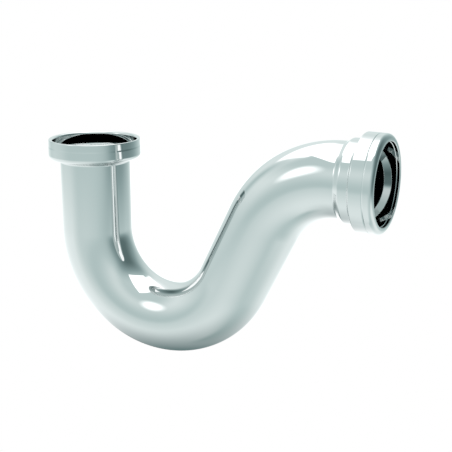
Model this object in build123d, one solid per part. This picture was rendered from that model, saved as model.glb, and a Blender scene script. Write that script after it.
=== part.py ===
"""A 50 mm sink trap: one bent steel tube with a turned socket welded on at each end.

The origin is the centre of the inlet's mouth. The inlet points up (+Z) and the outlet
points along +X. The tube drops from the inlet, turns under in a U-bend, rises at a slant
and turns again into the level outlet. Its centre line lies in the XZ plane.
"""

import os
from math import cos, radians, sin

from build123d import *

# Tube
TUBE_OD = 50.0            # outside diameter of the tube
WALL = 1.0                # thickness of the tube's wall
BEND_R = 59.0             # centre-line radius of both bends
RISE_ANGLE = 64.0         # slope of the rising leg above the level, in degrees
INLET_LEG = 66.0          # from the inlet's mouth to the start of the U-bend
RISING_LEG = 51.0         # straight part between the two bends
OUTLET_REACH = 30.3       # from the end of the upper bend to the outlet's mouth

# Inlet socket, a short cup; depths are measured down from its mouth
INLET_R = 33.0            # outside radius of the cup
INLET_RIM_R = 32.7        # outside radius of the rim above its line
INLET_BORE_R = 30.0       # radius of the cup's bore
INLET_RIM_LINE = 5.3      # depth of the line between rim and cup
INLET_FLOOR = 9.6         # depth of the ledge that the tailpiece's seal rests on
INLET_SHOULDER = 13.4     # depth of the shoulder's outer edge
INLET_ROOT = 15.3         # depth at which the shoulder meets the tube
INLET_END = 20.0          # depth at which the plain tube takes over
INLET_RIM_ROUND = 2.2     # outside rounding of the rim
FLOOR_ROUND = 1.2         # rounding between ledge and bore
LEDGE_ROUND = 0.5         # rounding between ledge and tube

# Outlet socket, stepped; stations are measured out from the end of the upper bend
FLARE_START = 2.6         # station at which the outside flare leaves the tube
SLEEVE_START = 5.0        # station at which the outside flare reaches the sleeve
SLEEVE_R = 27.4           # outside radius of the narrow sleeve
STEP_START = 13.4         # station at which the step leaves the sleeve
STEP_END = 15.4           # station at which the step reaches the collar
COLLAR_R = 31.8           # outside radius of the collar
OUTLET_RIM_LINE = 24.0    # station of the line between collar and rim
OUTLET_RIM_R = 31.5       # outside radius of the rim beyond its line
OUTLET_RIM_ROUND = 2.6    # outside rounding of the rim
OUTLET_MOUTH_R = 26.9     # radius of the relief just inside the mouth
RELIEF_DEPTH = 2.1        # depth of the relief
RELIEF_CHAMFER = 0.3      # chamfer from the relief down to the bore
OUTLET_BORE_R = 26.6      # radius of the bore that takes the drain pipe and its sleeve
STOP_END = 9.9            # station at which the bore's stop cone begins
STOP_START = 5.3          # station at which the stop cone meets the tube's bore
STOP_ROUND = 1.0

# Roundings of the outside skin and of the edges
ROOT_ROUND = 1.8
SHOULDER_ROUND = 3.4
STEP_ROUND = 1.4
EDGE_ROUND = 0.4          # inner edge of each mouth
LINE_DEPTH = 0.35         # depth of the turned line round each socket
LINE_HALF_WIDTH = 0.4

TUBE_R = TUBE_OD / 2
BORE_R = TUBE_R - WALL


def route():
    """Centre line from the foot of the inlet socket to the start of the outlet socket."""
    start = (0, 0, -INLET_END)
    bend_1 = (0, 0, -INLET_LEG)
    turn = radians(90 + RISE_ANGLE)
    rise = radians(RISE_ANGLE)
    mid_1 = (BEND_R * (1 - cos(turn / 2)), 0, -INLET_LEG - BEND_R * sin(turn / 2))
    end_1 = (BEND_R * (1 - cos(turn)), 0, -INLET_LEG - BEND_R * sin(turn))
    bend_2 = (end_1[0] + RISING_LEG * cos(rise), 0, end_1[2] + RISING_LEG * sin(rise))
    centre_2 = (bend_2[0] + BEND_R * sin(rise), bend_2[2] - BEND_R * cos(rise))
    half = rise / 2
    mid_2 = (centre_2[0] - BEND_R * sin(half), 0, centre_2[1] + BEND_R * cos(half))
    end_2 = (centre_2[0], 0, centre_2[1] + BEND_R)
    path = Wire([
        Edge.make_line(start, bend_1),
        Edge.make_three_point_arc(bend_1, mid_1, end_1),
        Edge.make_line(end_1, bend_2),
        Edge.make_three_point_arc(bend_2, mid_2, end_2),
    ])
    return path, Vector(*end_2)


def turned_ring(corners, line_r, line_h):
    """Turn a ring round Z. corners maps each (radius, height) of its section to the
    rounding there; the turned line round the outside is at (line_r, line_h)."""
    roundings = list(corners.values())
    section = Face(Wire(FilletPolyline(*corners, radius=roundings, close=True).edges()))
    notch = Polyline(
        (line_r - LINE_DEPTH, line_h),
        (line_r + LINE_DEPTH, line_h - 2 * LINE_HALF_WIDTH),
        (line_r + LINE_DEPTH, line_h + 2 * LINE_HALF_WIDTH), close=True)
    section -= Face(Wire(notch.edges()))
    return Rotation(90, 0, 0) * revolve(section, Axis.Y)


def inlet_socket():
    """Cup at the top of the inlet leg, mouth up, height 0 at the mouth."""
    corners = {
        (TUBE_R, -INLET_END): 0,
        (TUBE_R, -INLET_ROOT): ROOT_ROUND,
        (INLET_R, -INLET_SHOULDER): SHOULDER_ROUND,
        (INLET_R, -INLET_RIM_LINE): 0,
        (INLET_RIM_R, 0): INLET_RIM_ROUND,
        (INLET_BORE_R, 0): EDGE_ROUND,
        (INLET_BORE_R, -INLET_FLOOR): FLOOR_ROUND,
        (BORE_R, -INLET_FLOOR): LEDGE_ROUND,
        (BORE_R, -INLET_END): 0,
    }
    return turned_ring(corners, INLET_R, -INLET_RIM_LINE)


def outlet_socket():
    """Stepped socket on the end of the upper bend, mouth up, height 0 at the bend."""
    relief_end = OUTLET_REACH - RELIEF_DEPTH
    corners = {
        (TUBE_R, 0): 0,
        (TUBE_R, FLARE_START): ROOT_ROUND,
        (SLEEVE_R, SLEEVE_START): STEP_ROUND,
        (SLEEVE_R, STEP_START): STEP_ROUND,
        (COLLAR_R, STEP_END): STEP_ROUND,
        (COLLAR_R, OUTLET_RIM_LINE): 0,
        (OUTLET_RIM_R, OUTLET_REACH): OUTLET_RIM_ROUND,
        (OUTLET_MOUTH_R, OUTLET_REACH): EDGE_ROUND,
        (OUTLET_MOUTH_R, relief_end): 0,
        (OUTLET_BORE_R, relief_end - RELIEF_CHAMFER): 0,
        (OUTLET_BORE_R, STOP_END): STOP_ROUND,
        (BORE_R, STOP_START): STOP_ROUND,
        (BORE_R, 0): 0,
    }
    return turned_ring(corners, COLLAR_R, OUTLET_RIM_LINE)


def build():
    """All pieces of the trap, by node name."""
    path, bend_end = route()
    foot = Plane((0, 0, -INLET_END))
    ring = Face(Wire(Edge.make_circle(TUBE_R, foot))) - Face(Wire(Edge.make_circle(BORE_R, foot)))
    tube = sweep(ring, path=path)
    to_outlet = Location(Plane(origin=bend_end, x_dir=(0, 1, 0), z_dir=(1, 0, 0)))
    return {"trap_body": tube + inlet_socket() + to_outlet * outlet_socket()}


if __name__ == "__main__":
    os.makedirs("parts", exist_ok=True)
    for name, solid in build().items():
        export_step(solid, f"parts/{name}.step")
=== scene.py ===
# Polished steel sink trap in a small white light tent
from math import atan2, cos, degrees, pi, radians, sin, tan

import bpy
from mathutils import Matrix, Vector


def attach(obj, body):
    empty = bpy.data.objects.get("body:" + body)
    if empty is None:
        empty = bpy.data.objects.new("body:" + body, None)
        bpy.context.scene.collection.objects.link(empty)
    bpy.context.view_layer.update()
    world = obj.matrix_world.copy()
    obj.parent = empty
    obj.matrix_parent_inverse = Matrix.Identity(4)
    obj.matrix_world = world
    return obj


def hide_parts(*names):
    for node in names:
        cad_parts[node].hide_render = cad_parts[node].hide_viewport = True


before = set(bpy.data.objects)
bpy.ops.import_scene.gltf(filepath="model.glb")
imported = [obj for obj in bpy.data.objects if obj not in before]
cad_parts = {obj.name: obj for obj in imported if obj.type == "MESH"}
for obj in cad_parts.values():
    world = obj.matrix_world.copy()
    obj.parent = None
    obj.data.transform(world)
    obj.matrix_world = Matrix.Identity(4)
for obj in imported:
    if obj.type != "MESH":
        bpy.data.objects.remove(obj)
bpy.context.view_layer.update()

MM = 0.001

# Tube; the trap's own sizes are in millimetres, as in its source
TUBE_R = 25.0
BORE_R = 24.0
BEND_R = 59.0
RISE = radians(64)
INLET_LEG = 66.0
RISING_LEG = 51.0
OUTLET_REACH = 30.3

# Inlet socket; depths are measured down from its mouth
INLET_R = 33.0
INLET_RIM_R = 32.7
INLET_BORE_R = 30.0
INLET_LINE_START = 4.8      # depth at which the soft step between rim and cup begins
INLET_LINE_END = 5.8
INLET_FLOOR = 9.6
INLET_SHOULDER = 13.4
INLET_ROOT = 15.3

# Outlet socket; stations are measured out from the end of the upper bend
FLARE_START = 3.5
SLEEVE_START = 7.1
SLEEVE_R = 27.4
STEP_START = 13.4
STEP_END = 15.3
COLLAR_R = 31.8
COLLAR_LINE = 24.0          # station of the line between collar and rim
COLLAR_LINE_R = 31.4        # radius at the bottom of the line
LINE_HALF_WIDTH = 0.5
OUTLET_RIM_R = 31.5
OUTLET_MOUTH_R = 26.9
RELIEF_DEPTH = 2.1
RELIEF_CHAMFER = 0.3
OUTLET_BORE_R = 26.6
STOP_END = 9.9
STOP_START = 5.3

# Stations along the centre line, counted from the inlet's mouth
TURN = pi / 2 + RISE
BEND_1 = INLET_LEG
RISE_START = BEND_1 + BEND_R * TURN
BEND_2 = RISE_START + RISING_LEG
OUTLET = BEND_2 + BEND_R * RISE
MOUTH = OUTLET + OUTLET_REACH

# Fineness of the mesh
SEGMENTS = 180
ARC_STEP = radians(7)
STATION_STEP = 2.0

# Camera: the photograph's view of the trap
VIEW_YAW = radians(26.98)
VIEW_PITCH = radians(15.02)
VIEW_TARGET = Vector((106.01, 0, -52.74)) * MM
VIEW_DISTANCE = 608.62 * MM
LENS = 71.07

# Studio, in metres; STUDIO is the strength of its plain light
FLOOR_Z = -0.8
FLOOR_HALF = 12.0
TENT_MIDDLE = Vector((90, 0, -60)) * MM
TENT_R = 1.5
STUDIO = 1.36
WHITE = (1, 1, 1, 1)

# The tent's own directions: to the right and away, as the photograph is seen
RIGHT = Vector((cos(VIEW_YAW), sin(VIEW_YAW), 0))
AHEAD = Vector((-sin(VIEW_YAW), cos(VIEW_YAW), 0))
UP = Vector((0, 0, 1))


def srgb(r, g, b):
    """Linear colour of an 8-bit screen colour."""
    def linear(v):
        v /= 255
        return v / 12.92 if v <= 0.04045 else ((v + 0.055) / 1.055) ** 2.4
    return linear(r), linear(g), linear(b), 1.0


# Centre line

def centre(s):
    """Point on the centre line at station s, and the direction of travel there."""
    if s <= BEND_1:
        return Vector((0, 0, -s)), Vector((0, 0, -1))
    if s <= RISE_START:
        a = (s - BEND_1) / BEND_R
        point = Vector((BEND_R * (1 - cos(a)), 0, -INLET_LEG - BEND_R * sin(a)))
        return point, Vector((sin(a), 0, -cos(a)))
    rise_start, rise = centre(RISE_START)
    if s <= BEND_2:
        return rise_start + rise * (s - RISE_START), rise
    bend_2 = rise_start + rise * RISING_LEG
    middle = bend_2 + Vector((sin(RISE), 0, -cos(RISE))) * BEND_R
    a = RISE - min(s - BEND_2, BEND_R * RISE) / BEND_R
    point = middle + Vector((-sin(a), 0, cos(a))) * BEND_R
    travel = Vector((cos(a), 0, sin(a)))
    return point + travel * max(0, s - OUTLET), travel


# The body's section

def body_section():
    """Corners of the section as (station, radius, rounding): along the outside from the
    inlet's mouth to the outlet's, and back through the bore."""
    relief_end = MOUTH - RELIEF_DEPTH
    line = OUTLET + COLLAR_LINE
    return [
        # Inlet's cup
        (0, INLET_BORE_R, 1.8),
        (0, INLET_RIM_R, 0.7),
        (INLET_LINE_START, INLET_RIM_R + 0.08, 0.6),
        (INLET_LINE_END, INLET_R - 0.08, 0.6),
        (INLET_SHOULDER, INLET_R, 3.4),
        (INLET_ROOT, TUBE_R, 1.8),
        # Outlet's sleeve, collar and rim
        (OUTLET + FLARE_START, TUBE_R, 2.4),
        (OUTLET + SLEEVE_START, SLEEVE_R, 2.4),
        (OUTLET + STEP_START, SLEEVE_R, 0.8),
        (OUTLET + STEP_END, COLLAR_R, 0.9),
        (line - LINE_HALF_WIDTH, 31.63, 0.2),
        (line, COLLAR_LINE_R, 0.2),
        (line + LINE_HALF_WIDTH, 31.62, 0.2),
        (MOUTH, OUTLET_RIM_R, 3.2),
        # Back through the bore
        (MOUTH, OUTLET_MOUTH_R, 0.5),
        (relief_end, OUTLET_MOUTH_R, 0.05),
        (relief_end - RELIEF_CHAMFER, OUTLET_BORE_R, 0.05),
        (OUTLET + STOP_END, OUTLET_BORE_R, 1.0),
        (OUTLET + STOP_START, BORE_R, 1.0),
        (INLET_FLOOR, BORE_R, 0.5),
        (INLET_FLOOR, INLET_BORE_R, 0.4),
    ]


def rounded_loop(corners):
    """Points (s, r, normal s, normal r) of a closed line with every corner rounded."""
    n = len(corners)
    area = sum(
        corners[i - 1][0] * corners[i][1] - corners[i][0] * corners[i - 1][1]
        for i in range(n))
    side = 1 if area > 0 else -1
    loop = []
    for i in range(n):
        before, here, after = corners[i - 1], corners[i], corners[(i + 1) % n]
        radius = here[2]
        a_in = atan2(here[1] - before[1], here[0] - before[0])
        a_out = atan2(after[1] - here[1], after[0] - here[0])
        turn = (a_out - a_in + pi) % (2 * pi) - pi
        reach = radius * tan(abs(turn) / 2)
        start = (here[0] - cos(a_in) * reach, here[1] - sin(a_in) * reach)
        bend = 1 if turn > 0 else -1
        mid = (start[0] - sin(a_in) * radius * bend, start[1] + cos(a_in) * radius * bend)
        steps = max(1, round(abs(turn) / ARC_STEP))
        for k in range(steps + 1):
            a = a_in + turn * k / steps
            loop.append((
                mid[0] + sin(a) * radius * bend, mid[1] - cos(a) * radius * bend,
                sin(a) * side, -cos(a) * side))
    return loop


def with_stations(loop):
    """The same line with more points on its long runs, so that they follow the bends."""
    dense = []
    for i, here in enumerate(loop):
        after = loop[(i + 1) % len(loop)]
        dense.append(here)
        steps = int(abs(after[0] - here[0]) / STATION_STEP)
        for k in range(1, steps):
            t = k / steps
            dense.append(tuple(a + (b - a) * t for a, b in zip(here, after)))
    return dense


def add_mesh(name, points, faces):
    """New object of the given points and faces, in the scene."""
    mesh = bpy.data.meshes.new(name)
    mesh.from_pydata(points, [], faces)
    piece = bpy.data.objects.new(name, mesh)
    bpy.context.scene.collection.objects.link(piece)
    return piece


def ring_mesh(name, loop):
    """Turn a closed section round the centre line, with its exact normals."""
    points, normals, faces = [], [], []
    across = Vector((0, 1, 0))
    for s, r, ns, nr in loop:
        point, travel = centre(s)
        side = across.cross(travel)
        for k in range(SEGMENTS):
            a = 2 * pi * k / SEGMENTS
            out = side * cos(a) + across * sin(a)
            points.append((point + out * r) * MM)
            normals.append((travel * ns + out * nr).normalized())
    rings = len(loop)
    for i in range(rings):
        for k in range(SEGMENTS):
            a, b = i * SEGMENTS + k, i * SEGMENTS + (k + 1) % SEGMENTS
            j = ((i + 1) % rings) * SEGMENTS
            c, d = j + (k + 1) % SEGMENTS, j + k
            faces.append((a, b, c, d))
    piece = add_mesh(name, points, faces)
    mesh = piece.data
    if mesh.polygons[0].normal.dot(normals[0]) < 0:
        mesh.flip_normals()
    uv = mesh.uv_layers.new(name="around_and_along")
    for polygon in mesh.polygons:
        for corner in polygon.loop_indices:
            ring, k = divmod(mesh.loops[corner].vertex_index, SEGMENTS)
            if k == 0 and polygon.index % SEGMENTS == SEGMENTS - 1:
                k = SEGMENTS
            uv.data[corner].uv = (k / SEGMENTS, loop[ring][0] / MOUTH)
    mesh.shade_smooth()
    mesh.normals_split_custom_set_from_vertices(normals)
    mesh.update()
    return piece


# Materials

class Nodes:
    """Short names for making and linking shader nodes."""

    def __init__(self, tree):
        self.tree = tree
        tree.nodes.clear()

    def add(self, kind, values=(), **settings):
        node = self.tree.nodes.new(kind)
        for name, value in settings.items():
            setattr(node, name, value)
        for socket, value in dict(values).items():
            self.put(node.inputs[socket], value)
        return node

    def put(self, socket, value):
        if isinstance(value, bpy.types.NodeSocket):
            self.tree.links.new(value, socket)
        else:
            socket.default_value = value

    def math(self, operation, *values):
        node = self.add("ShaderNodeMath", enumerate(values), operation=operation)
        return node.outputs[0]

    def smooth(self, value, low, high, at_low=0.0, at_high=1.0):
        """Value eased from at_low to at_high between low and high."""
        node = self.add(
            "ShaderNodeMapRange", {0: value, 1: low, 2: high, 3: at_low, 4: at_high},
            interpolation_type="SMOOTHSTEP")
        return node.outputs[0]

    def mix(self, share, a, b):
        node = self.add("ShaderNodeMix", {0: share, 2: a, 3: b}, data_type="FLOAT")
        return node.outputs[0]


def new_material(name):
    material = bpy.data.materials.new(name)
    material.use_nodes = True
    return material, Nodes(material.node_tree)


def polished_steel(name, roughness, smear):
    """Mirror steel with the faint marks of the polishing wheel, which run round the tube."""
    material, n = new_material(name)
    place = n.add("ShaderNodeTexCoord")
    uv = place.outputs["UV"]
    marks_place = n.add("ShaderNodeMapping", {"Vector": uv, "Scale": (6, 900, 1)})
    marks = n.add("ShaderNodeTexNoise", {
        "Vector": marks_place.outputs[0], "Scale": 1.0, "Detail": 3.0})
    haze = n.add("ShaderNodeTexNoise", {
        "Vector": place.outputs["Object"], "Scale": 45.0, "Detail": 2.0})
    rough = n.smooth(haze.outputs[0], 0.35, 0.7, roughness * 0.8, roughness * 1.3)
    rough = n.math("ADD", rough, n.smooth(marks.outputs[0], 0.45, 0.8, 0.0, smear))
    bump = n.add("ShaderNodeBump", {
        "Strength": 0.005, "Distance": 0.00001, "Height": marks.outputs[0]})
    shader = n.add("ShaderNodeBsdfPrincipled", {
        "Base Color": (0.72, 0.735, 0.735, 1), "Metallic": 1.0, "Roughness": rough,
        "Normal": bump.outputs[0]})
    n.add("ShaderNodeOutputMaterial", {"Surface": shader.outputs[0]})
    return material


# The studio

TONES = (
    (0.0, (0, 0, 0)), (0.42, (88, 107, 107)), (0.60, (133, 153, 153)),
    (0.76, (178, 194, 193)), (0.86, (209, 219, 218)), (0.94, (235, 241, 241)),
    (1.0, (255, 255, 255)),
)


def tone_colour(n, tone):
    """The tent's greys lean a little to green, and its whites are white."""
    ramp = n.add("ShaderNodeValToRGB", {0: tone})
    stops = ramp.color_ramp.elements
    while len(stops) < len(TONES):
        stops.new(0.5)
    for stop, (position, colour) in zip(stops, TONES):
        stop.position = position
        stop.color = srgb(*colour)
    return ramp.outputs[0]


def tent_tone(n, way):
    """Tone of the tent's wall, by azimuth (0 behind the trap, positive to the right, as the
    photograph is seen) and elevation, both in degrees."""
    parts = [
        n.add("ShaderNodeVectorMath", {0: way, 1: axis}, operation="DOT_PRODUCT").outputs["Value"]
        for axis in (RIGHT, AHEAD, UP)]
    azimuth = n.math("MULTIPLY", n.math("ARCTAN2", parts[0], parts[1]), degrees(1))
    elevation = n.math("MULTIPLY", n.math("ARCSINE", parts[2]), degrees(1))

    def panel(tone, across, upright, value):
        """Paint a soft-edged panel of the given tone over what is there. Its place across
        and upright is given as middle, half size and softness."""
        az, az_half, az_soft = across
        el, el_half, el_soft = upright
        aside = n.math(
            "ABSOLUTE", n.math("WRAP", n.math("SUBTRACT", azimuth, az), 180.0, -180.0))
        above = n.math("ABSOLUTE", n.math("SUBTRACT", elevation, el))
        share = n.math(
            "MULTIPLY", n.smooth(aside, az_half - az_soft, az_half + az_soft, 1.0, 0.0),
            n.smooth(above, el_half - el_soft, el_half + el_soft, 1.0, 0.0))
        return n.mix(share, tone, value)

    # Pale wall, lighter towards the top and grey overhead
    tone = n.smooth(elevation, -15, 25, 0.76, 0.87)
    tone = n.mix(n.smooth(elevation, 25, 49), tone, 0.78)
    # Grey post behind on the left, and the pale ground on the left and behind
    tone = panel(tone, (-53, 8, 14), (15, 32, 3), 0.71)
    tone = panel(tone, (-95, 87, 42), (-46, 36, 7), 0.88)
    tone = panel(tone, (0, 53, 77), (-43, 32, 23), 0.99)
    # Dark side on the right, white sheet straight behind and bright top above it
    tone = panel(tone, (94, 47, 43), (20, 38, 22), 0.41)
    tone = panel(tone, (-4, 13, 8), (-13, 16, 5), 1.0)
    tone = panel(tone, (-21, 37, 28), (58, 16, 18), 1.05)
    # Grey wall on the camera's side, and the pale ground on the right
    tone = panel(tone, (-160, 53, 18), (-2, 15, 40), 0.74)
    return panel(tone, (90, 47, 21), (-32, 16, 12), 0.89)


def make_world():
    """Plain white round about, for the camera."""
    world = bpy.data.worlds.new("white")
    bpy.context.scene.world = world
    world.use_nodes = True
    world.cycles.sampling_method = "NONE"
    n = Nodes(world.node_tree)
    plain = n.add("ShaderNodeBackground", {"Color": WHITE, "Strength": 1.0})
    n.add("ShaderNodeOutputWorld", {"Surface": plain.outputs[0]})


def make_tent():
    """Round light tent that only reflections see."""
    bpy.ops.mesh.primitive_ico_sphere_add(subdivisions=6, radius=TENT_R, location=TENT_MIDDLE)
    tent = bpy.context.object
    tent.name = "tent"
    tent.visible_camera = False
    tent.visible_shadow = False
    tent.visible_diffuse = False
    material, n = new_material("tent")
    way = n.add("ShaderNodeVectorMath", {
        0: n.add("ShaderNodeTexCoord").outputs["Object"]}, operation="NORMALIZE")
    tone = tent_tone(n, way.outputs[0])
    glow = n.add("ShaderNodeEmission", {
        "Color": tone_colour(n, tone),
        "Strength": n.smooth(tone, 0.97, 1.05, STUDIO, STUDIO * 1.3)})
    n.add("ShaderNodeOutputMaterial", {"Surface": glow.outputs[0]})
    material.cycles.emission_sampling = "NONE"
    tent.data.materials.append(material)


def tent_place(right, ahead, up):
    """Point given in millimetres to the right, away and up, from the frame's origin."""
    return (RIGHT * right + AHEAD * ahead + UP * up) * MM


def level_corners(right, ahead, up):
    """Corners of a level card that reaches between two places to the right and two away."""
    return [
        tent_place(x, y, up)
        for x, y in ((right[0], ahead[0]), (right[1], ahead[0]),
                     (right[1], ahead[1]), (right[0], ahead[1]))]


def card(name, corners, tone, strength, soft, round_edges=False):
    """A soft-edged four-cornered light, or a dark card of painted shadow, that only reflections
    see.
    """
    middle = sum(corners, Vector((0, 0, 0))) / 4
    piece = add_mesh(name, [c - middle for c in corners], [(0, 1, 2, 3)])
    uv = piece.data.uv_layers.new(name="card")
    for corner, value in zip(uv.data, ((-1, -1), (1, -1), (1, 1), (-1, 1))):
        corner.uv = value
    piece.location = middle
    piece.visible_camera = False
    piece.visible_shadow = False
    material, n = new_material(name)
    place = n.add("ShaderNodeTexCoord").outputs["UV"]
    if round_edges:
        reach = n.add("ShaderNodeVectorMath", {0: place}, operation="LENGTH").outputs["Value"]
        share = n.smooth(reach, 1 - soft, 1.0, 1.0, 0.0)
    else:
        sides = n.add("ShaderNodeSeparateXYZ", {0: place})
        across, along = (
            n.smooth(n.math("ABSOLUTE", sides.outputs[i]), 1 - soft, 1.0, 1.0, 0.0)
            for i in (0, 1))
        share = n.math("MULTIPLY", across, along)
    glow = n.add("ShaderNodeEmission", {"Color": tone, "Strength": strength})
    clear = n.add("ShaderNodeBsdfTransparent")
    mixed = n.add("ShaderNodeMixShader", {0: share, 1: clear.outputs[0], 2: glow.outputs[0]})
    n.add("ShaderNodeOutputMaterial", {"Surface": mixed.outputs[0]})
    material.cycles.emission_sampling = "NONE"
    piece.data.materials.append(material)


def make_cards():
    """The lights near the trap, and the dark cards under it, which are painted shadow: the
    reflection of the trap's own shadow on a floor close beneath it.
    """
    ceiling = level_corners((-215, 335), (-330, 300), 600)
    card("ceiling_light", ceiling, WHITE, 1.8, 0.07)
    back = [
        tent_place(-150, 240, 220), tent_place(190, 290, 205),
        tent_place(200, 60, 490), tent_place(-200, 0, 470)]
    card("back_light", back, WHITE, 1.8, 0.3)
    # The key is a soft oval in front on the left, turned towards the trap
    key = Vector((-0.585, -0.891, 0.643))
    facing = (Vector((0.1, 0, -0.05)) - key).normalized()
    side = UP.cross(facing).normalized()
    rise = facing.cross(side)
    oval = [
        key + side * x + rise * y
        for x, y in ((-0.35, -0.40), (0.36, -0.40), (0.36, 0.40), (-0.35, 0.40))]
    card("key_light", oval, WHITE, 2.3, 1.0, round_edges=True)
    # Painted shadow: two dark cards under the trap stand in for its soft shadow on a floor close
    # beneath, as reflections see it; the darker core is the deepest part of that shadow
    shadow_patch = level_corners((-107, 219), (-167, 185), -202)
    card("painted_shadow_card", shadow_patch, srgb(98, 118, 118), STUDIO, 1.0, round_edges=True)
    core = level_corners((-45, 125), (5, 135), -200)
    card("painted_shadow_core", core, srgb(55, 72, 72), STUDIO, 1.0, round_edges=True)


def make_floor():
    """Plain pale floor, white to the camera."""
    corners = [
        (-FLOOR_HALF, -FLOOR_HALF, 0), (FLOOR_HALF, -FLOOR_HALF, 0),
        (FLOOR_HALF, FLOOR_HALF, 0), (-FLOOR_HALF, FLOOR_HALF, 0)]
    floor = add_mesh("floor", corners, [(0, 1, 2, 3)])
    floor.location.z = FLOOR_Z
    floor.visible_glossy = False
    material, n = new_material("floor_paint")
    grain = n.add("ShaderNodeTexNoise", {"Scale": 60.0, "Detail": 3.0})
    tone = n.smooth(grain.outputs[0], 0.3, 0.7, 0.86, 0.90)
    paint = n.add("ShaderNodeCombineColor", {0: tone, 1: tone, 2: tone})
    matt = n.add("ShaderNodeBsdfDiffuse", {"Color": paint.outputs[0]})
    white = n.add("ShaderNodeEmission", {"Color": WHITE, "Strength": 1.0})
    seen = n.add("ShaderNodeLightPath").outputs["Is Camera Ray"]
    mixed = n.add("ShaderNodeMixShader", {0: seen, 1: matt.outputs[0], 2: white.outputs[0]})
    n.add("ShaderNodeOutputMaterial", {"Surface": mixed.outputs[0]})
    floor.data.materials.append(material)


def make_camera():
    """The photograph's camera, level from side to side."""
    data = bpy.data.cameras.new("camera")
    data.lens = LENS
    data.sensor_width = 36.0
    camera = bpy.data.objects.new("camera", data)
    bpy.context.scene.collection.objects.link(camera)
    back = UP * sin(VIEW_PITCH) - AHEAD * cos(VIEW_PITCH)
    camera.location = VIEW_TARGET + back * VIEW_DISTANCE
    camera.rotation_mode = "QUATERNION"
    camera.rotation_quaternion = (-back).to_track_quat("-Z", "Y")
    bpy.context.scene.camera = camera


body = ring_mesh("bent_tube_and_sockets", with_stations(rounded_loop(body_section())))
body.data.materials.append(polished_steel("polished_steel", 0.01, 0.006))
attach(body, "root")
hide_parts("trap_body")

make_world()
make_tent()
make_cards()
make_floor()
make_camera()
bpy.context.scene.view_settings.view_transform = "Standard"
